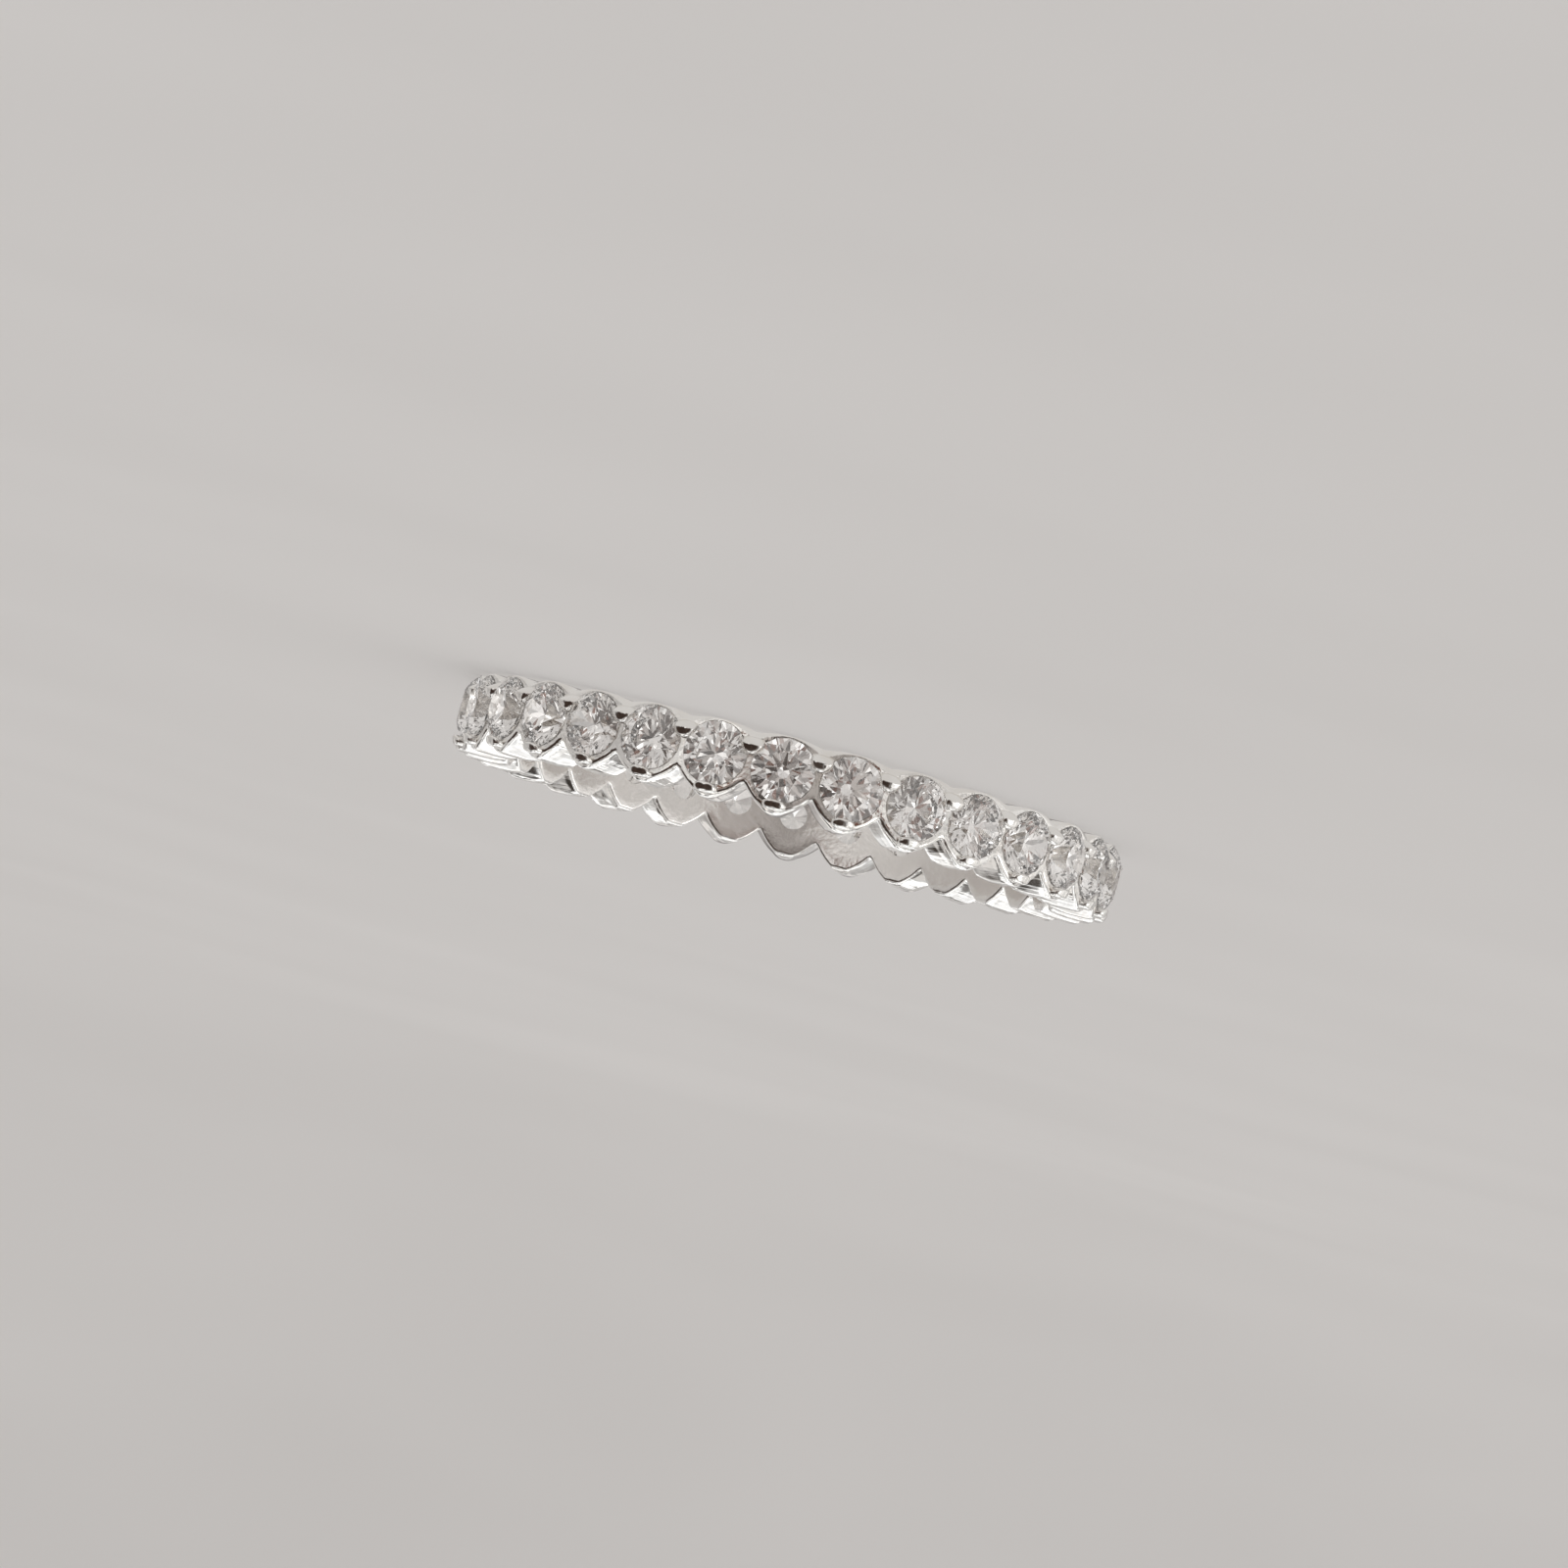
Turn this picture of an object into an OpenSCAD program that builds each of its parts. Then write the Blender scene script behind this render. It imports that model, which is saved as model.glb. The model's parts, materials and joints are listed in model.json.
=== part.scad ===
// Full eternity ring: one cast band with thirty round brilliant stones.
// The ring lies on its side, with its axis along +Z and the floor at z = 0.
// Each stone is held by three claws: one of its own on the upper edge of the band,
// and two on the lower edge that it shares with its neighbours.

/* [Stones] */
// Number of stones round the ring, an even number
stone_count = 30; // [24:2:36]
// Diameter of each stone at its girdle
stone_d = 1.95; // [1.7:0.05:2.3]
// Least gap between the girdles of two neighbours
stone_gap = 0.18; // [0.14:0.01:0.4]
// Height of the plain edge of the girdle
girdle_t = 0.06; // [0.03:0.01:0.1]
// Width of the table as a share of the diameter
table_share = 0.56; // [0.5:0.01:0.64]
// Slope of the main facets of the crown, in degrees
crown_angle = 34.5; // [32:0.5:37]
// Slope of the main facets of the pavilion, in degrees
pavilion_angle = 40.9; // [39:0.1:43]
// Reach of the star facets, as a share of the way from the table to the girdle
star_share = 0.5; // [0.4:0.01:0.6]
// Reach of the lower halves, as a share of the way from the girdle to the culet
lower_half_share = 0.77; // [0.6:0.01:0.85]

/* [Band] */
// Metal from the middle of the girdles down to the finger hole
band_depth = 1.49; // [1.3:0.01:2]
// Height of the upper lobes past the edge of the stones
upper_rise = 0.39; // [0.3:0.01:0.6]
// Depth of the upper valleys inside the edge of the stones
upper_dip = 0.31; // [0.2:0.01:0.4]
// Rounding of the crest of the upper lobes
upper_round = 0.6; // [0.4:0.05:0.8]
// Height of the lower lobes past the edge of the stones
lower_rise = 0.07; // [0.05:0.01:0.3]
// Depth of the lower valleys inside the edge of the stones
lower_dip = 0.04; // [0.02:0.01:0.16]
// Rounding of the crest of the lower lobes
lower_round = 0.9; // [0.6:0.05:1]
// Radius of the bulge that rounds both sides of the band
side_bulge = 2.6; // [1.6:0.1:4]
// Drop of the metal between the stones below the top of the girdles
saddle_drop = 0.04; // [0.01:0.01:0.1]

/* [Seats] */
// Gap between a stone and the metal all round it
seat_gap = 0.02; // [0.01:0.005:0.04]
// Width of the ledge that carries a stone
ledge_w = 0.21; // [0.12:0.01:0.3]
// Diameter of the light hole where it opens into the finger hole
light_hole_d = 0.85; // [0.6:0.05:1.1]

/* [Claws] */
// Height of the claws above the middle of the girdles
claw_h = 0.35; // [0.3:0.01:0.45]
// Width of the upper claws along the band
upper_claw_w = 0.72; // [0.5:0.02:0.9]
// Thickness of the upper claws across the band
upper_claw_t = 0.32; // [0.24:0.02:0.44]
// Reach of the upper claws over the edge of their stone
upper_grip = 0.06; // [0.04:0.01:0.15]
// Width of the shared claws along the band
shared_claw_w = 0.72; // [0.5:0.02:0.8]
// Distance from the middle plane of the stones to the tip of a shared claw
shared_tip = 0.26; // [0.15:0.01:0.4]
// Rounding of the tip of a shared claw, seen from the side
shared_round = 0.17; // [0.1:0.01:0.25]
// Turn of a shared claw's rounding, from its tip over to its back, in degrees
shared_turn = 115; // [95:5:130]
// Depth of the claws' roots below the middle of the girdles
claw_root = 0.35; // [0.2:0.05:0.6]

/* [Hidden] */
$fn = 48;
arc_steps = 6;

// The stones sit on a circle whose radius follows from their number, size and gap.
stone_r = stone_d / 2;
half_turn = 180 / stone_count;
girdle_r = (stone_gap / 2 + stone_r * cos(half_turn)) / sin(half_turn);
bore_r = girdle_r - band_depth;
half_pitch = girdle_r * tan(half_turn);
saddle_r = girdle_r + girdle_t / 2 - saddle_drop;
claw_top_r = girdle_r + claw_h;
claw_root_r = girdle_r - claw_root;

// Heights of the band's edges, measured from the middle plane of the stones.
upper_crest = stone_r + upper_rise;
upper_valley = stone_r - upper_dip;
lower_crest = stone_r + lower_rise;
lower_valley = stone_r - lower_dip;
stone_z = lower_crest;
// The bulge stands a little proud of the crests, so that the lobes' own rounding shows.
bulge_over = 0.06;
bulge_r = (bore_r + claw_top_r) / 2;
// The lower crests are cut a little past the floor, which leaves each a small flat to rest on.
rest_over = 0.02;
// How far a cut runs past the metal that it goes through.
reach = 2;

// Heights of the facets' corners above and below the girdle.
table_r = stone_r * table_share;
mains = 8;
half_main = 180 / mains;
table_z = girdle_t / 2 + (stone_r - table_r) * tan(crown_angle);
star_in = table_r * cos(half_main);
star_r = star_in + star_share * (stone_r - star_in);
star_z = table_z - (star_r * cos(half_main) - table_r) * tan(crown_angle);
culet_z = -girdle_t / 2 - stone_r * tan(pavilion_angle);
lower_half_r = stone_r * (1 - lower_half_share);
lower_half_z = culet_z + lower_half_r * cos(half_main) * tan(pavilion_angle);
// Each stone is set at a turn of its own, so that no two neighbours catch the light alike.
stone_turn = 137.5;

function two_digits(n) = n < 10 ? str("0", n) : str(n);
function stone_name(n) = str("stone_", two_digits(n));

// Points of an arc of the given radius about [x, y], from one angle to another.
function arc(x, y, r, from, to) = [for (i = [0 : arc_steps])
    let (a = from + (to - from) * i / arc_steps) [x + r * cos(a), y + r * sin(a)]];

// A level ring of corners about the stone's own axis, starting at a given turn.
function corners(count, r, z, turn) = [for (i = [0 : count - 1])
    let (a = turn + i * 360 / count) [r * cos(a), r * sin(a), z]];

// Slope of a lobe's straight side, from the valley up to the tangent of the rounded crest.
function side_slope(rise, rounding) =
    asin(rounding / norm([half_pitch, rounding - rise])) - atan2(rounding - rise, half_pitch);

// One valley between two lobes, as an outline to cut away: u along the band, v across it.
function valley(low, crest, rounding) =
    let (
        slope = side_slope(crest - low, rounding),
        right = arc(half_pitch, crest - rounding, rounding, 90 + slope, 90)
    )
    concat(
        [[0, low]], right, [[half_pitch, crest + reach], [-half_pitch, crest + reach]],
        [for (i = [arc_steps : -1 : 0]) [-right[i][0], right[i][1]]]
    );

// Carries its children to a place on the ring: their +Z points outwards, their +Y up.
module on_ring(steps) {
    rotate([0, 0, -90 + steps * 2 * half_turn])
        translate([0, 0, stone_z])
            rotate([90, 0, 90])
                children();
}

// Cuts through the whole depth of the band, from inside the finger hole to past the claws.
module through_band() {
    translate([0, 0, bore_r - reach])
        linear_extrude(claw_top_r - bore_r + 2 * reach)
            children();
}

// Section of the plain ring that the lobes, seats and hole are cut from.
module blank_section() {
    intersection() {
        translate([bore_r, 0])
            square([saddle_r - bore_r, lower_crest + upper_crest + bulge_over]);
        translate([bulge_r, stone_z + upper_crest + bulge_over - side_bulge])
            circle(side_bulge);
        translate([bulge_r, side_bulge - bulge_over])
            circle(side_bulge);
    }
}

// Claw of one stone, on the upper edge: a short post with rounded ends and a rounded top.
module upper_claw() {
    half_t = upper_claw_t / 2;
    middle_v = stone_r - upper_grip + half_t;
    intersection() {
        rotate([90, 0, 90])
            linear_extrude(upper_claw_w, center = true)
                polygon(concat(
                    [[middle_v - half_t, claw_root_r], [middle_v + half_t, claw_root_r]],
                    arc(middle_v, claw_top_r - half_t, half_t, 0, 180)
                ));
        translate([0, middle_v, claw_root_r])
            linear_extrude(claw_top_r - claw_root_r)
                union() {
                    square([upper_claw_w - upper_claw_t, upper_claw_t], center = true);
                    for (side = [-1, 1])
                        translate([side * (upper_claw_w - upper_claw_t) / 2, 0])
                            circle(half_t);
                }
    }
}

// Claw that two neighbours share, on the lower edge: a tongue that rises from the shoulder.
module shared_claw() {
    half_w = shared_claw_w / 2;
    tip_v = -shared_tip - shared_round;
    intersection() {
        rotate([90, 0, 90])
            linear_extrude(shared_claw_w, center = true)
                polygon(concat(
                    [[-shared_tip, claw_root_r]],
                    arc(tip_v, claw_top_r - shared_round, shared_round, 0, shared_turn),
                    [[-lower_valley, saddle_r], [-lower_valley, claw_root_r]]
                ));
        translate([0, 0, claw_root_r])
            linear_extrude(claw_top_r - claw_root_r)
                polygon(concat(
                    [[half_w, -lower_crest]], arc(0, -shared_tip - half_w, half_w, 0, 180),
                    [[-half_w, -lower_crest]]
                ));
    }
}

// Room for one stone: its own shape and a gap, the ledge under it and the light hole behind.
module seat() {
    ledge_r = stone_r - ledge_w;
    girdle_z = girdle_t / 2;
    ledge_z = -girdle_z - ledge_w * (lower_half_z + girdle_z) / (lower_half_r - stone_r);
    translate([0, 0, girdle_r])
        rotate_extrude()
            polygon([
                [0, -band_depth - reach], [light_hole_d / 2, -band_depth - reach],
                [light_hole_d / 2, -band_depth], [ledge_r, ledge_z - seat_gap],
                [stone_r + seat_gap, -girdle_z - seat_gap], [stone_r + seat_gap, girdle_z],
                [star_r + seat_gap, star_z + seat_gap], [table_r + seat_gap, table_z + seat_gap],
                [table_r + seat_gap, table_z + reach], [0, table_z + reach]
            ]);
}

// The cast metal: a ring with a lobe at each stone, its claws and its seats.
module band() {
    color("silver")
        difference() {
            union() {
                rotate_extrude() blank_section();
                for (n = [1 : stone_count]) on_ring(n - 1) upper_claw();
                for (n = [1 : stone_count]) on_ring(n - 0.5) shared_claw();
            }
            for (n = [1 : stone_count]) on_ring(n - 1) seat();
            for (n = [1 : stone_count]) on_ring(n - 0.5)
                through_band() {
                    polygon(valley(upper_valley, upper_crest, upper_round));
                    mirror([0, 1])
                        polygon(valley(lower_valley, lower_crest + rest_over, lower_round));
                }
        }
}

// A round brilliant: table, stars, kites, upper halves, girdle, lower halves and mains.
module stone(n) {
    star = mains;
    upper = star + mains;
    lower = upper + 2 * mains;
    half = lower + 2 * mains;
    culet = half + mains;
    points = concat(
        corners(mains, table_r, table_z, 0), corners(mains, star_r, star_z, half_main),
        corners(2 * mains, stone_r, girdle_t / 2, 0), corners(2 * mains, stone_r, -girdle_t / 2, 0),
        corners(mains, lower_half_r, lower_half_z, half_main), [[0, 0, culet_z]]
    );
    each_main = [0 : mains - 1];
    faces = concat(
        [[for (i = each_main) mains - 1 - i]],
        [for (i = each_main) [i, (i + 1) % mains, star + i]],
        [for (i = each_main) [i, star + i, upper + 2 * i, star + (i + mains - 1) % mains]],
        [for (i = each_main) [star + i, upper + 2 * i + 1, upper + 2 * i]],
        [for (i = each_main) [star + i, upper + (2 * i + 2) % (2 * mains), upper + 2 * i + 1]],
        [for (i = [0 : 2 * mains - 1])
            let (next = (i + 1) % (2 * mains)) [upper + i, upper + next, lower + next, lower + i]],
        [for (i = each_main) [half + i, lower + 2 * i, lower + 2 * i + 1]],
        [for (i = each_main) [half + i, lower + 2 * i + 1, lower + (2 * i + 2) % (2 * mains)]],
        [for (i = each_main) [culet, half + (i + mains - 1) % mains, lower + 2 * i, half + i]]
    );
    color("whitesmoke", 0.6)
        on_ring(n - 1)
            translate([0, 0, girdle_r])
                rotate([0, 0, n * stone_turn])
                    polyhedron(points, faces);
}

band();
for (n = [1 : stone_count])
    stone(n);
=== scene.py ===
import json
import math

import bmesh
import bpy
from mathutils import Matrix, Vector


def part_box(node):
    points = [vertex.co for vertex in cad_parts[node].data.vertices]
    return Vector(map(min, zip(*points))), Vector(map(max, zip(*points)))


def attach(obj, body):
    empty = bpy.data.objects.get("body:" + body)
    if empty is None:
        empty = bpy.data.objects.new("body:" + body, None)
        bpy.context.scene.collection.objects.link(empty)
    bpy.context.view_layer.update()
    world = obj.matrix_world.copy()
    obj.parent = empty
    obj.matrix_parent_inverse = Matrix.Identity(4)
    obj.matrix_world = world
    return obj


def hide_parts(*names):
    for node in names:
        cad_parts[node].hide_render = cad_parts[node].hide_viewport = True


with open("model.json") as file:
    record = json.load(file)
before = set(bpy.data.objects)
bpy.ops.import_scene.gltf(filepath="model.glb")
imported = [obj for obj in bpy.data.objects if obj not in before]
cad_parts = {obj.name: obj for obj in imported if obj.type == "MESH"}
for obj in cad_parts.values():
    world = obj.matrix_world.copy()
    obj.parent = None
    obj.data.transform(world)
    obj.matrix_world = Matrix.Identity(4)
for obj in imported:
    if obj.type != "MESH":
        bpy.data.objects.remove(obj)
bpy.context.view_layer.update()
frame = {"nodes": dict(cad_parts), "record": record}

# Camera
# It looks at the ring from about four degrees above the plane of the stones. It is upside down
# and rolled, because the ring is seen with the edge that it lies on here turned up.
MM = 0.001
stone_names = sorted(name for name in frame["nodes"] if name.startswith("stone_"))
first_low, first_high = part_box(stone_names[0])
STONE_Z = (first_low.z + first_high.z) / 2 / MM

VIEW_UP = math.radians(3.9)
VIEW_SIDE = math.radians(-92.11)
VIEW_ROLL = math.radians(15.17)
VIEW_DISTANCE = 318
PICTURE_SIDE = 1600
PIXELS_PER_MM = 33.19
RING_CENTRE_PIXEL = (805.1, 811.9)

away = Vector((math.cos(VIEW_SIDE), math.sin(VIEW_SIDE), math.tan(VIEW_UP))).normalized()
plain_up = (away * away.z - Vector((0, 0, 1))).normalized()
plain_right = plain_up.cross(away)
right = math.cos(VIEW_ROLL) * plain_right + math.sin(VIEW_ROLL) * plain_up
up = math.cos(VIEW_ROLL) * plain_up - math.sin(VIEW_ROLL) * plain_right
aside = (PICTURE_SIDE / 2 - RING_CENTRE_PIXEL[0]) / PIXELS_PER_MM
aloft = (RING_CENTRE_PIXEL[1] - PICTURE_SIDE / 2) / PIXELS_PER_MM
place = Vector((0, 0, STONE_Z)) + away * VIEW_DISTANCE + right * aside + up * aloft

camera = bpy.data.objects.new("camera", bpy.data.cameras.new("camera"))
bpy.context.collection.objects.link(camera)
camera.matrix_world = Matrix.Translation(place * MM) @ Matrix((right, up, away)).transposed().to_4x4()
camera.data.sensor_width = 36
camera.data.lens = camera.data.sensor_width * VIEW_DISTANCE * PIXELS_PER_MM / PICTURE_SIDE
camera.data.clip_start = 0.01
bpy.context.scene.camera = camera


# Floor and backdrop
# One sheet of pale matt paper: it lies flat under the ring and curves up behind it.
def surface(name, **sockets):
    """A new material, its nodes and its shader, with plain values on the shader's sockets."""
    material = bpy.data.materials.new(name)
    material.use_nodes = True
    shader = material.node_tree.nodes["Principled BSDF"]
    for socket, value in sockets.items():
        shader.inputs[socket.replace("_", " ")].default_value = value
    return material, material.node_tree, shader


def put(tree, kind, feeds, **settings):
    """A new node, with its settings and what feeds its sockets."""
    node = tree.nodes.new(kind)
    for name, value in settings.items():
        setattr(node, name, value)
    for name, value in feeds.items():
        if isinstance(value, bpy.types.NodeSocket):
            tree.links.new(value, node.inputs[name])
        else:
            node.inputs[name].default_value = value
    return node


def toned(tree, factor, stops):
    """Colours that follow a factor, from a few stops."""
    node = put(tree, "ShaderNodeValToRGB", {"Fac": factor})
    for n, (position, colour) in enumerate(stops):
        stop = node.color_ramp.elements[n] if n < 2 else node.color_ramp.elements.new(position)
        stop.position = position
        stop.color = (*colour, 1)
    return node.outputs["Color"]


def smudge_group():
    """Soft uneven patches: a roughness between two bounds, and a height for bump."""
    group = bpy.data.node_groups.new("smudges", "ShaderNodeTree")
    group.interface.new_socket("Place", in_out="INPUT", socket_type="NodeSocketVector")
    for name in ("Fineness", "Least", "Most"):
        group.interface.new_socket(name, in_out="INPUT", socket_type="NodeSocketFloat")
    for name in ("Roughness", "Height"):
        group.interface.new_socket(name, in_out="OUTPUT", socket_type="NodeSocketFloat")
    given = group.nodes.new("NodeGroupInput")
    patches = put(
        group,
        "ShaderNodeTexNoise",
        {
            "Vector": given.outputs["Place"],
            "Scale": given.outputs["Fineness"],
            "Detail": 1,
            "Distortion": 0.4,
        },
    )
    spread = put(
        group,
        "ShaderNodeMapRange",
        {
            "Value": patches.outputs["Fac"],
            "From Min": 0.35,
            "From Max": 0.65,
            "To Min": given.outputs["Least"],
            "To Max": given.outputs["Most"],
        },
    )
    put(
        group,
        "NodeGroupOutput",
        {"Roughness": spread.outputs["Result"], "Height": patches.outputs["Fac"]},
    )
    return group


smudges = smudge_group()


def smudged(tree, shader, fineness, least, most):
    """Feeds a shader's roughness with smudges, and gives back their place and their height."""
    place = put(tree, "ShaderNodeTexCoord", {}).outputs["Object"]
    patches = put(
        tree,
        "ShaderNodeGroup",
        {"Place": place, "Fineness": fineness, "Least": least, "Most": most},
        node_tree=smudges,
    )
    tree.links.new(patches.outputs["Roughness"], shader.inputs["Roughness"])
    return place, patches.outputs["Height"]


def finished(bm, name, *materials):
    """Turns a bmesh in millimetres into an object in metres, with its place in its mesh."""
    bmesh.ops.scale(bm, verts=bm.verts, vec=(MM, MM, MM))
    mesh = bpy.data.meshes.new(name)
    bm.to_mesh(mesh)
    bm.free()
    thing = bpy.data.objects.new(name, mesh)
    bpy.context.collection.objects.link(thing)
    for material in materials:
        mesh.materials.append(material)
    return thing


SHEET_HALF_WIDTH = 700
SHEET_FRONT = -500
SHEET_BACK = 280
SHEET_BEND = 200
SHEET_HEIGHT = 300
BEND_STEPS = 24

bm = bmesh.new()
front = bm.verts.new((-SHEET_HALF_WIDTH, SHEET_FRONT, 0))
back = bm.verts.new((-SHEET_HALF_WIDTH, SHEET_BACK, 0))
bm.edges.new((front, back))
bent = bmesh.ops.spin(
    bm,
    geom=[back],
    cent=(0, SHEET_BACK, SHEET_BEND),
    axis=(1, 0, 0),
    angle=math.pi / 2,
    steps=BEND_STEPS,
)
top = bent["geom_last"][0]
grown = bmesh.ops.extrude_vert_indiv(bm, verts=[top])
bmesh.ops.translate(bm, verts=grown["verts"], vec=(0, 0, SHEET_HEIGHT))
side = bmesh.ops.extrude_edge_only(bm, edges=bm.edges[:])["geom"]
bmesh.ops.translate(
    bm, verts=[v for v in side if isinstance(v, bmesh.types.BMVert)], vec=(2 * SHEET_HALF_WIDTH, 0, 0)
)
bmesh.ops.recalc_face_normals(bm, faces=bm.faces)
paper, tree, shader = surface("pale_paper", Emission_Strength=1.78)
_, height = smudged(tree, shader, fineness=30, least=0.85, most=0.95)
paper_tone = toned(tree, height, [(0.3, (0.22, 0.212, 0.206)), (0.7, (0.232, 0.224, 0.218))])
tree.links.new(paper_tone, shader.inputs["Base Color"])
tree.links.new(paper_tone, shader.inputs["Emission Color"])
sheet = finished(bm, "sheet", paper)
for polygon in sheet.data.polygons:
    polygon.use_smooth = True
# The silver and the stones mirror the room instead, which is lit in the section on light.
sheet.visible_glossy = False
sheet.visible_transmission = False

# Band
# The cast and polished silver ring: lobes with V notches on one edge, shallow scallops on the
# other, and for each stone a seat with a ledge and a light hole behind it.
STONE_COUNT = len(stone_names)
STONE_R = 0.975
BAND_DEPTH = 1.49
OUTER_DROP = 0.01
BORE_R = frame["record"]["mounts"][0]["dims"]["r_mm"]
GIRDLE_R = BORE_R + BAND_DEPTH
OUTER_R = GIRDLE_R - OUTER_DROP
HALF_TURN = math.pi / STONE_COUNT
HALF_PITCH = GIRDLE_R * math.tan(HALF_TURN)
UPPER_RISE = 0.39
UPPER_DIP = 0.31
UPPER_ROUND = 0.6
UPPER_CREST = STONE_R + UPPER_RISE
UPPER_VALLEY = STONE_R - UPPER_DIP
LOWER_RISE = 0.09
LOWER_DIP = 0.04
LOWER_ROUND = 0.9
LOWER_CREST = STONE_R + LOWER_RISE
LOWER_VALLEY = STONE_R - LOWER_DIP
VALLEY_ROUND = 0.05
SIDE_BULGE = 2.6
BULGE_DEPTH = 0.92
BULGE_R = BORE_R + BULGE_DEPTH
BULGE_OVER = 0.06
SOFTEN = 0.06
EDGE_ROUND = 0.24
FULLNESS = 0.07
BORE_ROUND = 0.1
RIM_ROUND = 0.008


def edge_height(along, low, crest, rounding):
    """Height of a scalloped edge: slightly full slopes from the valleys up to rounded crests."""
    slope = math.asin(rounding / math.hypot(HALF_PITCH, rounding - crest + low)) - math.atan2(
        rounding - crest + low, HALF_PITCH
    )
    along = abs(along)
    if along <= rounding * math.sin(slope):
        return crest - rounding + math.sqrt(rounding**2 - along**2)
    from_valley = abs(HALF_PITCH - along)
    slope_length = HALF_PITCH - rounding * math.sin(slope)
    fullness = FULLNESS * (crest - low) * math.sin(math.pi * from_valley / slope_length)
    if from_valley < VALLEY_ROUND:
        from_valley = (from_valley**2 / VALLEY_ROUND + VALLEY_ROUND) / 2
    return low + from_valley * math.tan(slope) + fullness


def upper_edge(along):
    return edge_height(along, UPPER_VALLEY, UPPER_CREST, UPPER_ROUND)


def lower_edge(along):
    return -edge_height(along, LOWER_VALLEY, LOWER_CREST, LOWER_ROUND)


HALVINGS = 40
LEAST_COSINE = 0.5


def met(edge, angle):
    """Where a ray from the middle of a stone meets an edge: a place along the band and across it."""
    near, far = STONE_R, HALF_PITCH / max(abs(math.cos(angle)), LEAST_COSINE)
    for _ in range(HALVINGS):
        middle = (near + far) / 2
        across = middle * math.sin(angle)
        if abs(across) < abs(edge(middle * math.cos(angle))):
            near = middle
        else:
            far = middle
    return near * math.cos(angle), near * math.sin(angle)


def outwards(edge, along):
    """Direction that an edge faces, seen from outside the ring."""
    step = 0.002
    rise = (edge(along + step) - edge(along - step)) / (2 * step)
    facing = Vector((-rise, 1)).normalized()
    return facing if edge is upper_edge else -facing


VALLEY_TOP = upper_edge(HALF_PITCH)
VALLEY_FOOT = lower_edge(HALF_PITCH)
UPPER_CORNER = math.atan2(VALLEY_TOP, HALF_PITCH)
LOWER_CORNER = math.atan2(-VALLEY_FOOT, HALF_PITCH)
SIDE_STEPS = 14
UPPER_STEPS = 38
LOWER_STEPS = 24

# Each column runs once round the metal beside one stone: out of the light hole, over the ledge
# and the rim, down an edge of the band and back along the finger hole. The columns at the corners
# belong to the edges, and those between them to the sides, where the next stone's metal starts.
columns = []
for start, end, steps, edge in (
    (UPPER_CORNER, math.pi - UPPER_CORNER, UPPER_STEPS, upper_edge),
    (math.pi - UPPER_CORNER, math.pi + LOWER_CORNER, SIDE_STEPS, None),
    (math.pi + LOWER_CORNER, 2 * math.pi - LOWER_CORNER, LOWER_STEPS, lower_edge),
    (-LOWER_CORNER, UPPER_CORNER, SIDE_STEPS, None),
):
    numbers = range(steps + 1) if edge else range(1, steps)
    columns += [(start + (end - start) * number / steps, edge) for number in numbers]


def at(turn, across, radius):
    """A place on the ring, by its turn from the first stone."""
    return Vector((radius * math.sin(turn), -radius * math.cos(turn), STONE_Z + across))


def seat_place(angle, reach, depth=None, radius=None):
    """A place round a stone's axis, at a depth along it or where it meets a radius of the ring."""
    along, across = reach * math.cos(angle), reach * math.sin(angle)
    if depth is None:
        depth = math.sqrt(radius**2 - along**2)
    return math.atan2(along, depth), across, math.hypot(along, depth)


def lesser(a, b):
    """The smaller of two heights, with a soft change from one to the other."""
    return min(a, b) - max(SOFTEN - abs(a - b), 0) ** 2 / (4 * SOFTEN)


def bulged(across, radius):
    """Holds a place on an edge inside the bulge that rounds the sides of the band."""
    fall = math.sqrt(SIDE_BULGE**2 - (radius - BULGE_R) ** 2) - SIDE_BULGE
    if across > 0:
        return lesser(across, UPPER_CREST + BULGE_OVER + fall)
    return -min(lesser(-across, STONE_Z + BULGE_OVER + fall), STONE_Z)


CLOSE = 1e-6


def edge_place(column, inset, radius):
    """A place on the outline of the metal round one stone, held back from its edge."""
    angle, edge = column
    if edge is None:
        side = 1 if math.cos(angle) > 0 else -1
        share = (math.tan(angle) * side * HALF_PITCH - VALLEY_FOOT) / (VALLEY_TOP - VALLEY_FOOT)
        across = VALLEY_FOOT + inset + share * (VALLEY_TOP - VALLEY_FOOT - 2 * inset)
        return side * HALF_TURN, across, radius
    along, across = met(edge, angle)
    facing = outwards(edge, along)
    if HALF_PITCH - abs(along) < CLOSE:
        facing = Vector((0, math.copysign(1, across)))
    spot = Vector((along, bulged(across, radius))) - inset * facing
    return spot.x / HALF_PITCH * HALF_TURN, spot.y, radius


def between(start, end, share, radius):
    """A place part of the way from one to another, on a cylinder of the ring."""
    turn = start[0] + (end[0] - start[0]) * share
    across = start[1] + (end[1] - start[1]) * share
    return turn, across, radius


def shoulder(column, rounding, corner_radius, side, turn):
    """A place on the rounded corner between an edge and a cylinder of the ring."""
    inset = rounding * (1 - math.sin(turn))
    return edge_place(column, inset, corner_radius + side * rounding * math.cos(turn))


LIGHT_HOLE_R = 0.425
LEDGE_R = 0.765
LEDGE_DROP = 0.236
LEDGE_DEPTH = GIRDLE_R - LEDGE_DROP
SEAT_R = 0.98
SEAT_FOOT_R = 0.945
SEAT_FOOT_DROP = 0.09
SEAT_FOOT_DEPTH = GIRDLE_R - SEAT_FOOT_DROP
ROUND_SHARE = 0.6
QUARTER = [math.radians(turn) for turn in (0, 22, 45, 68, 90)]
FACE_SHARES = (0.3, 0.65)
WALL_SHARES = (0.2, 0.4, 0.6, 0.8)
BORE_SHARES = (0.35, 0.7, 1)


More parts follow.
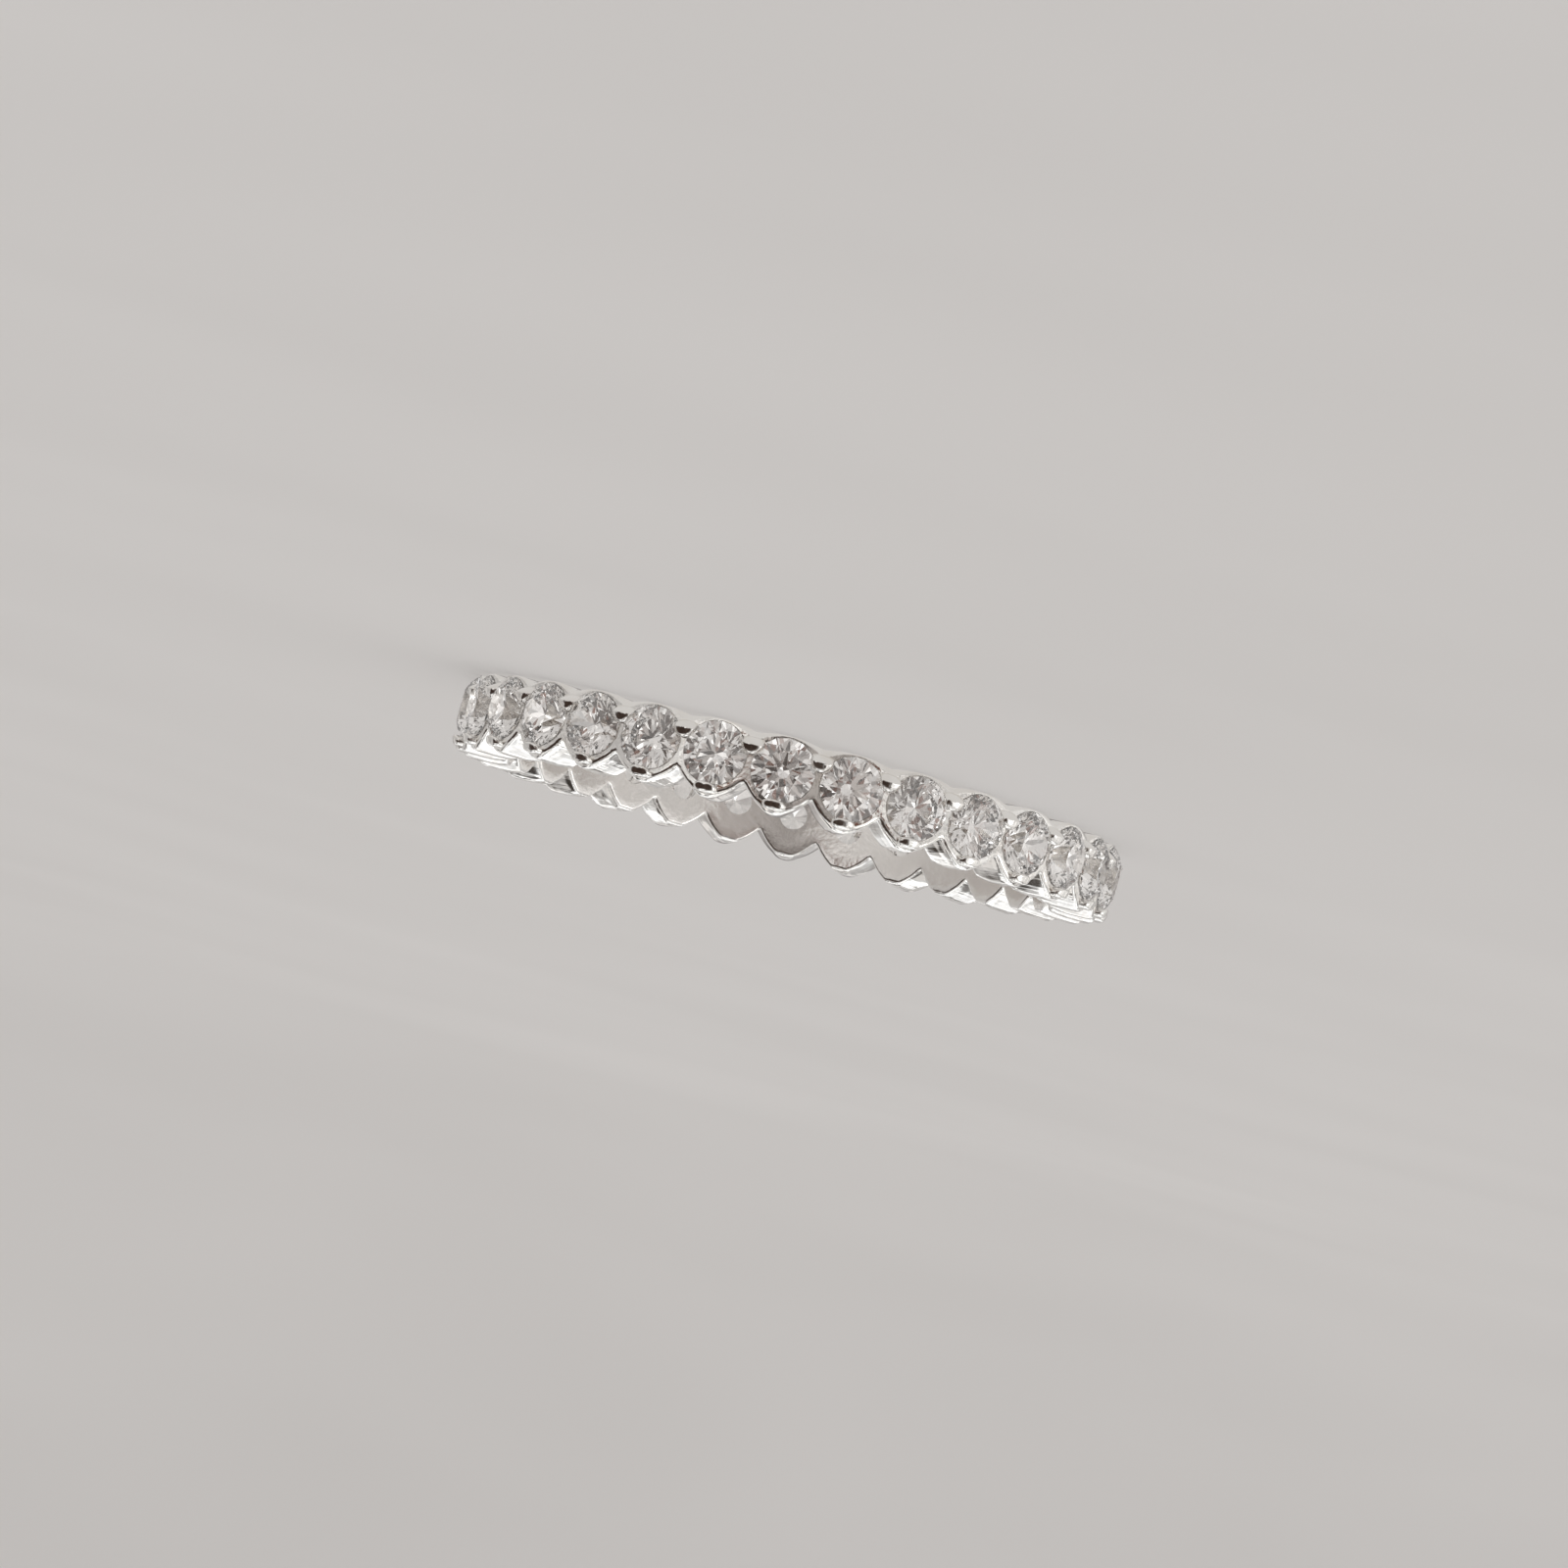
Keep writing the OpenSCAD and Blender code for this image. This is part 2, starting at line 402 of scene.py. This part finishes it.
def column_places(column):
    """One column of the metal round a stone, as turns, heights and radii."""
    angle = column[0]
    hole = seat_place(angle, LIGHT_HOLE_R, radius=BORE_R + RIM_ROUND)
    hole_rim = seat_place(angle, LIGHT_HOLE_R + RIM_ROUND, radius=BORE_R)
    rim = seat_place(angle, SEAT_R + RIM_ROUND, radius=OUTER_R)
    places = [
        hole,
        seat_place(angle, LEDGE_R - RIM_ROUND, depth=LEDGE_DEPTH - RIM_ROUND),
        seat_place(angle, LEDGE_R + RIM_ROUND, depth=LEDGE_DEPTH),
        seat_place(angle, SEAT_FOOT_R, depth=SEAT_FOOT_DEPTH),
        seat_place(angle, SEAT_R, radius=OUTER_R - RIM_ROUND),
        rim,
    ]
    around, across, _ = edge_place(column, 0, OUTER_R)
    room = math.hypot(around / HALF_TURN * HALF_PITCH, across) - SEAT_R - RIM_ROUND
    rounding = min(EDGE_ROUND, ROUND_SHARE * room)
    outer = edge_place(column, rounding, OUTER_R)
    wall_top, wall_foot = OUTER_R - rounding, BORE_R + BORE_ROUND
    wall_radii = [wall_top + (wall_foot - wall_top) * share for share in WALL_SHARES]
    places += [between(rim, outer, share, OUTER_R) for share in FACE_SHARES]
    places += [shoulder(column, rounding, wall_top, 1, turn) for turn in QUARTER]
    places += [edge_place(column, 0, radius) for radius in wall_radii]
    places += [shoulder(column, BORE_ROUND, wall_foot, -1, turn) for turn in reversed(QUARTER)]
    inner = places[-1]
    places += [between(inner, hole_rim, share, BORE_R) for share in BORE_SHARES]
    return places


def next_loop(bm, loop, places):
    """Draws a closed loop of edges on to its next places."""
    edges = [bm.edges.get((loop[i - 1], loop[i])) for i in range(len(loop))]
    grown = bmesh.ops.extrude_edge_only(bm, edges=edges)["geom"]
    fresh = {v for v in grown if isinstance(v, bmesh.types.BMVert)}
    drawn = [next(e.other_vert(v) for e in v.link_edges if e.other_vert(v) in fresh) for v in loop]
    for vert, place in zip(drawn, places):
        vert.co = place
    return drawn


def round_the_ring(bm):
    """Repeats what is made at one stone at every other stone."""
    bmesh.ops.spin(
        bm,
        geom=bm.verts[:] + bm.edges[:] + bm.faces[:],
        cent=(0, 0, 0),
        axis=(0, 0, 1),
        angle=2 * math.pi - 2 * HALF_TURN,
        steps=STONE_COUNT - 1,
        use_duplicate=True,
    )


MERGE = 0.0005
ON_PLANE = 1e-5
ring = bmesh.new()
table = [[at(*place) for place in column_places(column)] for column in columns]
loop = bmesh.ops.create_circle(ring, segments=len(columns), radius=LIGHT_HOLE_R)["verts"]
for vert, places in zip(loop, table):
    vert.co = places[0]
for level in list(range(1, len(table[0]))) + [0]:
    loop = next_loop(ring, loop, [places[level] for places in table])
bmesh.ops.remove_doubles(ring, verts=ring.verts, dist=MERGE)
# The metal of two neighbours meets in a plane between them, where neither keeps a face.
cut_faces = [
    face
    for face in ring.faces
    if all(abs(abs(math.atan2(v.co.x, -v.co.y)) - HALF_TURN) < ON_PLANE for v in face.verts)
]
bmesh.ops.delete(ring, geom=cut_faces, context="FACES")
round_the_ring(ring)
bmesh.ops.remove_doubles(ring, verts=ring.verts, dist=MERGE)
bmesh.ops.recalc_face_normals(ring, faces=ring.faces)

# Claws
# Thirty own claws on the crests of the lobes, and thirty that neighbours share on the other
# edge. They are cast with the band, cut to their stones, and rounded and polished by hand.
CLAW_H = 0.35
CLAW_ROOT = 0.35
CLAW_TOP_R = GIRDLE_R + CLAW_H
CLAW_ROOT_R = GIRDLE_R - CLAW_ROOT
CLAW_W = 0.72
CLAW_DOME = 0.09
OWN_CLAW_T = 0.32
OWN_CLAW_GRIP = 0.06
OWN_CLAW_MIDDLE = STONE_R - OWN_CLAW_GRIP + OWN_CLAW_T / 2
OWN_CLAW_ROUND = 0.11
CLAW_SLOPE = 0.36
CLAW_END_POWER = 0.8
SHARED_TIP = -0.2
SHARED_CROWN = -0.5
SHARED_BACK = -0.8
SHARED_ROUND = 0.12
SHARED_SINK = 0.06
SHARED_FALL_POWER = 1.3
TONGUE_POWER = 0.5
CLAW_SIDES = 48
SHOULDER_TURNS = (0, 0.3, 0.6, 0.9, 1.2, 1.45)
SHOULDER_END = 0.9
TOP_SHARES = (0.8, 0.6, 0.4, 0.2, 0)


def turned(bm, steps):
    """Turns a bmesh round the ring by a number of stones."""
    turn = Matrix.Rotation(2 * HALF_TURN * steps, 3, "Z")
    bmesh.ops.rotate(bm, verts=bm.verts, cent=(0, 0, 0), matrix=turn)


def pill(middle, half_w, half_t):
    """Outline of an own claw, seen from outside: a short bar that narrows to its round ends."""
    outline = []
    for side in range(CLAW_SIDES):
        angle = 2 * math.pi * (side + 0.5) / CLAW_SIDES
        along, across = math.cos(angle), math.sin(angle)
        along = math.copysign(abs(along) ** CLAW_END_POWER, along)
        across = math.copysign(abs(across) ** CLAW_END_POWER, across)
        outline.append(Vector((along * half_w, middle + across * half_t)))
    return outline


def tongue(tip, back, half_w):
    """Outline of a shared claw, seen from outside: a round tip and a squarer back."""
    middle = tip - half_w
    outline = []
    for side in range(CLAW_SIDES):
        angle = 2 * math.pi * (side + 0.5) / CLAW_SIDES
        across, along = math.sin(angle), math.cos(angle)
        if across > 0:
            outline.append(Vector((along, across)) * half_w + Vector((0, middle)))
        else:
            along = math.copysign(abs(along) ** TONGUE_POWER, along) * half_w
            outline.append(Vector((along, middle - abs(across) ** TONGUE_POWER * (middle - back))))
    return outline


def knob(outline, rounding, top):
    """A closed claw over an outline: straight sides, a rounded shoulder and a given top."""
    bm = bmesh.new()
    middle = sum(outline, Vector((0, 0))) / len(outline)
    loop = bmesh.ops.create_circle(bm, cap_ends=True, segments=len(outline), radius=1)["verts"]
    for vert, spot in zip(loop, outline):
        vert.co = (spot.x, -CLAW_ROOT_R, STONE_Z + spot.y)
    levels = [(rounding * (1 - math.cos(turn)), 1) for turn in SHOULDER_TURNS]
    levels += [(rounding * SHOULDER_END, share) for share in TOP_SHARES]
    for inset, share in levels:
        fall = rounding - math.sqrt(rounding**2 - (rounding - inset) ** 2)
        arms = [spot - middle for spot in outline]
        spots = [middle + arm * (1 - inset / arm.length) * share for arm in arms]
        loop = next_loop(bm, loop, [(spot.x, -top(spot) + fall, STONE_Z + spot.y) for spot in spots])
    bmesh.ops.pointmerge(bm, verts=loop, merge_co=loop[0].co)
    bmesh.ops.recalc_face_normals(bm, faces=bm.faces)
    return bm


def domed_top(spot):
    """The top of a claw is highest along its middle."""
    return CLAW_TOP_R - CLAW_DOME * (spot.x / (CLAW_W / 2)) ** 2


def own_top(spot):
    """An own claw slopes down from its stone to the edge of the band."""
    return domed_top(spot) - CLAW_SLOPE * (spot.y - OWN_CLAW_MIDDLE + OWN_CLAW_T / 2)


def shared_top(spot):
    """A shared claw slopes down from its crown to its tip, and sinks into the band behind it."""
    if spot.y > SHARED_CROWN:
        return domed_top(spot) - CLAW_SLOPE * (spot.y - SHARED_CROWN)
    share = (SHARED_CROWN - spot.y) / (SHARED_CROWN - SHARED_BACK)
    return domed_top(spot) + (OUTER_R - SHARED_SINK - CLAW_TOP_R) * share**SHARED_FALL_POWER


own = knob(pill(OWN_CLAW_MIDDLE, CLAW_W / 2, OWN_CLAW_T / 2), OWN_CLAW_ROUND, own_top)
shared = knob(tongue(SHARED_TIP, SHARED_BACK, CLAW_W / 2), SHARED_ROUND, shared_top)
turned(shared, 0.5)

# What a claw leaves free for a stone: all that lies below its girdle, and its crown.
TABLE_SHARE = 0.56
TABLE_R = STONE_R * TABLE_SHARE
TABLE_H = 0.325
TABLE_TOP = GIRDLE_R + TABLE_H
GIRDLE_HALF = 0.03
SEAT_GAP = 0.02
PLUG_OVER = 0.004
PLUG_R = SEAT_R + PLUG_OVER
PLUG_REACH = 0.6
PLUG_SIDES = 64
plug = bmesh.new()
corners = [
    plug.verts.new((reach, -depth, STONE_Z))
    for reach, depth in (
        (0, LEDGE_DEPTH - PLUG_REACH),
        (PLUG_R, LEDGE_DEPTH - PLUG_REACH),
        (PLUG_R, GIRDLE_R + GIRDLE_HALF),
        (TABLE_R + SEAT_GAP, TABLE_TOP + SEAT_GAP),
        (TABLE_R + SEAT_GAP, TABLE_TOP + PLUG_REACH),
        (0, TABLE_TOP + PLUG_REACH),
    )
]
for start, end in zip(corners, corners[1:]):
    plug.edges.new((start, end))
bmesh.ops.spin(
    plug,
    geom=plug.verts[:] + plug.edges[:],
    cent=(0, 0, STONE_Z),
    axis=(0, 1, 0),
    angle=2 * math.pi,
    steps=PLUG_SIDES,
    use_merge=True,
)
bmesh.ops.remove_doubles(plug, verts=plug.verts, dist=MERGE)
bmesh.ops.recalc_face_normals(plug, faces=plug.faces)
next_plug = plug.copy()
turned(next_plug, 1)


def combined(target, tool, operation):
    """The exact union or difference of two bmeshes, as a new one."""
    pair = []
    for bm in (target, tool):
        mesh = bpy.data.meshes.new(operation)
        bm.to_mesh(mesh)
        thing = bpy.data.objects.new(operation, mesh)
        bpy.context.collection.objects.link(thing)
        pair.append(thing)
    change = pair[0].modifiers.new(operation, "BOOLEAN")
    change.operation = operation
    change.solver = "EXACT"
    change.object = pair[1]
    view = bpy.context.evaluated_depsgraph_get()
    joined = bmesh.new()
    joined.from_mesh(pair[0].evaluated_get(view).to_mesh())
    for thing in pair:
        bpy.data.objects.remove(thing)
    return joined


own = combined(own, plug, "DIFFERENCE")
shared = combined(combined(shared, plug, "DIFFERENCE"), next_plug, "DIFFERENCE")
claws = bmesh.new()
for claw in (own, shared):
    mesh = bpy.data.meshes.new("claw")
    claw.to_mesh(mesh)
    claws.from_mesh(mesh)
round_the_ring(claws)

SATIN_ROUGHNESS = 0.24
SATIN_COLOUR = (0.9, 0.88, 0.86, 1)
RIDGE_FINENESS = (60, 500, 6000)
silver, tree, shader = surface("polished_silver", Metallic=1.0)
place, height = smudged(tree, shader, fineness=1400, least=0.05, most=0.16)
shade = toned(tree, height, [(0.25, (0.86, 0.835, 0.8)), (0.6, (0.93, 0.92, 0.9))])
tree.links.new(shade, shader.inputs["Base Color"])
# Polishing left faint ridges, which run from the outside to the finger hole on the notched edge.
parts = put(tree, "ShaderNodeSeparateXYZ", {"Vector": place}).outputs
turn = put(tree, "ShaderNodeMath", {0: parts["Y"], 1: parts["X"]}, operation="ARCTAN2").outputs["Value"]
flat = put(tree, "ShaderNodeCombineXYZ", {"X": parts["X"], "Y": parts["Y"]}).outputs["Vector"]
radius = put(tree, "ShaderNodeVectorMath", {0: flat}, operation="LENGTH").outputs["Value"]
unrolled = put(tree, "ShaderNodeCombineXYZ", {"X": turn, "Y": radius, "Z": parts["Z"]})
around = put(
    tree,
    "ShaderNodeMapping",
    {"Vector": unrolled.outputs["Vector"], "Scale": RIDGE_FINENESS},
)
ridges = put(tree, "ShaderNodeTexNoise", {"Vector": around.outputs["Vector"], "Scale": 1, "Detail": 2})
waves = put(tree, "ShaderNodeBump", {"Height": height, "Distance": 0.00002, "Strength": 1})
fine = put(
    tree,
    "ShaderNodeBump",
    {
        "Height": ridges.outputs["Fac"],
        "Distance": 0.00001,
        "Strength": 1,
        "Normal": waves.outputs["Normal"],
    },
)
tree.links.new(fine.outputs["Normal"], shader.inputs["Normal"])
# The finger hole's wall keeps a satin finish, which is duller and greyer than the outside. The
# sockets of a Mix node go by number, because each name is there once for each kind of value.
outside = put(
    tree,
    "ShaderNodeMapRange",
    {"Value": radius, "From Min": BORE_R * MM, "From Max": (BORE_R + BORE_ROUND) * MM},
).outputs["Result"]
smudged_polish = shader.inputs["Roughness"].links[0].from_socket
polish = put(tree, "ShaderNodeMix", {0: outside, 2: SATIN_ROUGHNESS, 3: smudged_polish})
tree.links.new(polish.outputs[0], shader.inputs["Roughness"])
whiteness = put(tree, "ShaderNodeMix", {0: outside, 6: SATIN_COLOUR, 7: shade}, data_type="RGBA")
tree.links.new(whiteness.outputs[2], shader.inputs["Base Color"])

SHARP_FROM = math.radians(42)
band = finished(combined(ring, claws, "UNION"), "ring_band", silver)
for polygon in band.data.polygons:
    polygon.use_smooth = True
band.data.set_sharp_from_angle(angle=SHARP_FROM)
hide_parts("band")
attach(band, "root")

# Stones
# Thirty colourless round brilliants, with flat polished facets and knife-sharp edges. A very
# faint glow stands for the light that a stone traps, whose paths are cut short.
STONE_IOR = 2.16
STONE_GLOW = 0.006
crystal, tree, shader = surface(
    "clear_stone", Transmission_Weight=1.0, IOR=STONE_IOR, Emission_Strength=STONE_GLOW
)
shader.inputs["Emission Color"].default_value = (1, 0.97, 0.95, 1)
crystal.cycles.emission_sampling = "NONE"
_, height = smudged(tree, shader, fineness=900, least=0, most=0.02)
tint = toned(tree, height, [(0.3, (0.975, 0.96, 0.95)), (0.6, (0.995, 0.985, 0.978))])
tree.links.new(tint, shader.inputs["Base Color"])
for name in stone_names:
    node = frame["nodes"][name]
    node.data.materials.clear()
    node.data.materials.append(crystal)

# Light
# The room that the silver and the stones mirror: pale, brown dark on one side, and bright above
# and on the other side, where a window is. Uneven patches break it up.
world = bpy.data.worlds.new("room")
world.use_nodes = True
bpy.context.scene.world = world
tree = world.node_tree
backdrop = tree.nodes["Background"]
way = put(tree, "ShaderNodeTexCoord", {}).outputs["Generated"]
patches = put(
    tree, "ShaderNodeTexNoise", {"Vector": way, "Scale": 2.6, "Detail": 1.5, "Distortion": 0.5}
)

# The ways into the room are bent by the patches, so that what stands in it has wavy outlines.
NOISE_MIDDLE = (0.5, 0.5, 0.5)
BENDING = (0.8, 0.8, 0.8)
stray = put(
    tree, "ShaderNodeVectorMath", {0: patches.outputs["Color"], 1: NOISE_MIDDLE}, operation="SUBTRACT"
).outputs["Vector"]
pushed = put(
    tree, "ShaderNodeVectorMath", {0: stray, 1: BENDING, 2: way}, operation="MULTIPLY_ADD"
).outputs["Vector"]
bent_way = put(tree, "ShaderNodeVectorMath", {0: pushed}, operation="NORMALIZE").outputs["Vector"]
mirrored = toned(
    tree,
    patches.outputs["Fac"],
    [
        (0.36, (0.22, 0.2, 0.185)),
        (0.45, (0.66, 0.64, 0.62)),
        (0.55, (0.82, 0.8, 0.78)),
        (0.64, (1.15, 1.13, 1.11)),
    ],
)
# What stands in the room: its name, the way to its middle, how far from there it is full and how
# far off it ends, both in degrees, and its colour.
zones = [
    ("wall behind", (0, 1, 0), 70, 95, (0.62, 0.6, 0.585)),
    ("shade on the wall behind", (0, 1, -0.05), 12, 20, (0.3, 0.28, 0.27)),
    ("pale wall", (-1, 0, 0), 35, 50, (0.85, 0.83, 0.81)),
    ("grey wall", (1, 0, 0), 35, 50, (0.55, 0.53, 0.515)),
    ("shade in front", (0, -1, 0.07), 18, 26, (0.38, 0.35, 0.33)),
    ("dark lens in front", (0, -1, 0.07), 6, 10, (0.04, 0.03, 0.026)),
    ("dark rim of the lamp", (-0.16, 0.36, 0.92), 36, 40, (0.06, 0.05, 0.043)),
    ("lamp above", (-0.16, 0.36, 0.92), 29, 33, (1.2, 1.2, 1.2)),
    ("light on the wall behind", (0.3, 0.84, 0.45), 6, 11, (1.05, 1.05, 1.05)),
    ("light beside the lamp", (-0.32, 0.81, 0.5), 7, 12, (1.15, 1.15, 1.15)),
    ("dark spot in the lamp", (0.05, 0.12, 0.99), 4, 8, (0.06, 0.05, 0.043)),
    ("dark curtain", (0.7, -0.45, 0.55), 20, 26, (0.045, 0.03, 0.024)),
    ("dark screen above the lens", (0.2, -0.78, 0.6), 15, 21, (0.05, 0.035, 0.028)),
    ("end of the dark screen", (-0.15, -0.8, 0.58), 14, 19, (0.05, 0.035, 0.028)),
    ("dark spot beside the lamp", (0.4, 0.3, 0.87), 5, 11, (0.06, 0.05, 0.043)),
    ("brown spot beside the lens", (0.35, -0.9, 0.25), 7, 10, (0.15, 0.075, 0.055)),
    ("brown spot across from it", (-0.4, -0.9, 0.12), 5, 8, (0.15, 0.075, 0.055)),
    ("brown spot below the lens", (-0.3, -0.85, -0.3), 5, 8, (0.2, 0.11, 0.085)),
    ("window", (-0.85, -0.4, 0.4), 12, 18, (2.4, 2.4, 2.4)),
]


def zoned(under, name, middle, full, end, colour):
    """Lays a round zone of one colour over what the room has there."""
    towards = Vector(middle).normalized()
    nearness = put(tree, "ShaderNodeVectorMath", {0: bent_way, 1: towards}, operation="DOT_PRODUCT")
    share = put(
        tree,
        "ShaderNodeMapRange",
        {
            "Value": nearness.outputs["Value"],
            "From Min": math.cos(math.radians(end)),
            "From Max": math.cos(math.radians(full)),
        },
        interpolation_type="SMOOTHSTEP",
    )
    mixed = put(
        tree,
        "ShaderNodeMix",
        {0: share.outputs["Result"], 6: under, 7: (*colour, 1)},
        data_type="RGBA",
        label=name,
    )
    return mixed.outputs[2]


for zone in zones:
    mirrored = zoned(mirrored, *zone)
flecks = put(tree, "ShaderNodeTexNoise", {"Vector": way, "Scale": 9, "Detail": 1, "Distortion": 0.6})
uneven = put(
    tree,
    "ShaderNodeMapRange",
    {
        "Value": flecks.outputs["Fac"],
        "From Min": 0.35,
        "From Max": 0.65,
        "To Min": 0.55,
        "To Max": 1.35,
    },
).outputs["Result"]
flecked = put(
    tree, "ShaderNodeVectorMath", {0: mirrored, "Scale": uneven}, operation="SCALE"
).outputs["Vector"]
# Below the ring the room is as plain as the paper.
with_table = zoned(flecked, "plain table", (0, 0, -1), 62, 78, (0.66, 0.64, 0.62))
tree.links.new(with_table, backdrop.inputs["Color"])
# The camera itself sees plain grey past the sheet, as even as the paper.
plain = put(tree, "ShaderNodeBackground", {"Color": (0.56, 0.54, 0.525, 1), "Strength": 1})
seen = put(tree, "ShaderNodeLightPath", {}).outputs["Is Camera Ray"]
either = put(
    tree,
    "ShaderNodeMixShader",
    {0: seen, 1: backdrop.outputs["Background"], 2: plain.outputs["Background"]},
)
tree.links.new(either.outputs["Shader"], tree.nodes["World Output"].inputs["Surface"])

# Light goes back and forth many times inside a stone before it leaves.
STONE_BOUNCES = 48
SILVER_BOUNCES = 12
scene = bpy.context.scene
scene.view_settings.view_transform = "Standard"
scene.cycles.max_bounces = STONE_BOUNCES
scene.cycles.transmission_bounces = STONE_BOUNCES
scene.cycles.glossy_bounces = SILVER_BOUNCES
